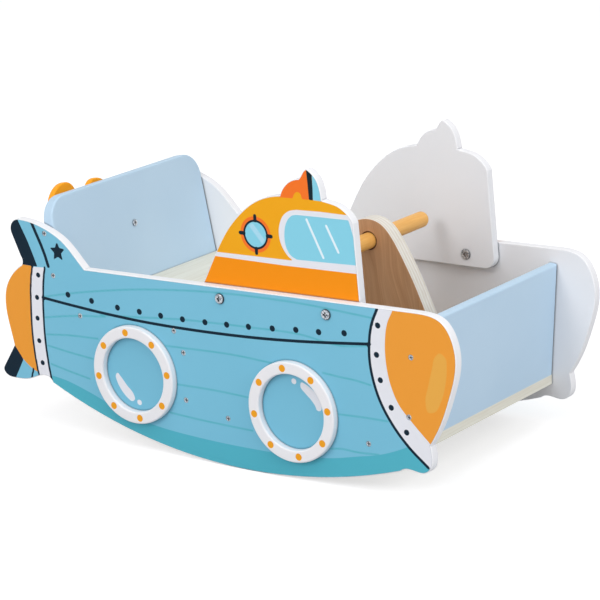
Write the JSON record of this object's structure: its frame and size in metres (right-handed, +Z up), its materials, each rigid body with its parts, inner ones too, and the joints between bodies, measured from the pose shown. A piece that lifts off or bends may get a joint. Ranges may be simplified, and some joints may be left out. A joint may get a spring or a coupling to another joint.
{
  "type": "rocking boat toy",
  "caption": "Submarine-shaped wooden rocking toy: curved side panels with porthole rings, cabin boards, seat, leaning backrest, foot well, upright fin with a handle bar, rear propeller.",
  "frame": {"origin": "under the middle of the whole toy's bounding box, level with the lowest point of the rockers", "axes": "+X points to the bow, +Y to port (the rider's left), +Z up; the boards are level, and a free toy settles bow up by about three degrees"},
  "size_m": [0.6912, 0.3468, 0.3786],
  "materials": {
    "white_paint": "satin white paint on plywood",
    "hull_print": "satin printed film, light blue with orange ends and dark lines",
    "cabin_print": "satin printed film, orange with a blue window",
    "ring_paint": "satin white paint with printed yellow dots",
    "zinc_steel": "zinc plated",
    "blue_paint": "satin light blue paint",
    "pale_ply": "clear lacquer on pale plywood",
    "brown_veneer": "clear lacquer on brown-faced plywood",
    "beech": "clear lacquer on turned wood",
    "orange_paint": "satin orange paint"
  },
  "bodies": {
    "boat": {"backrest": "blue_paint", "backrest_screws_left": "zinc_steel", "backrest_screws_right": "zinc_steel", "cabin_board_left": "white_paint", "cabin_board_right": "white_paint", "cabin_bolts_left": "zinc_steel", "cabin_bolts_right": "zinc_steel", "cabin_nuts_left": "zinc_steel", "cabin_nuts_right": "zinc_steel", "cabin_print_left": "cabin_print", "cabin_print_right": "cabin_print", "cap_screw": "zinc_steel", "fin_screws": "zinc_steel", "floor_board": "pale_ply", "floor_screws_left": "zinc_steel", "floor_screws_right": "zinc_steel", "front_panel": "blue_paint", "front_panel_screws_left": "zinc_steel", "front_panel_screws_right": "zinc_steel", "handle_bar": "beech", "hull_print_left": "hull_print", "hull_print_right": "hull_print", "porthole_ring_front_left": "ring_paint", "porthole_ring_front_right": "ring_paint", "porthole_ring_rear_left": "ring_paint", "porthole_ring_rear_right": "ring_paint", "propeller_cap": "orange_paint", "propeller_shaft": "beech", "riser_screws_left": "zinc_steel", "riser_screws_right": "zinc_steel", "seat_board": "pale_ply", "seat_riser": "pale_ply", "seat_screws_left": "zinc_steel", "seat_screws_right": "zinc_steel", "shaft_screw": "zinc_steel", "side_panel_left": "white_paint", "side_panel_right": "white_paint", "steering_fin": "brown_veneer"},
    "propeller": {"propeller": "orange_paint"}
  },
  "joints": [
    {"name": "propeller_spin", "type": "hinge", "parent": "boat", "child": "propeller", "pos_m": [-0.3296, 0, 0.22354], "axis": [0.9836, 0, 0.1805], "continuous": true}
  ]
}
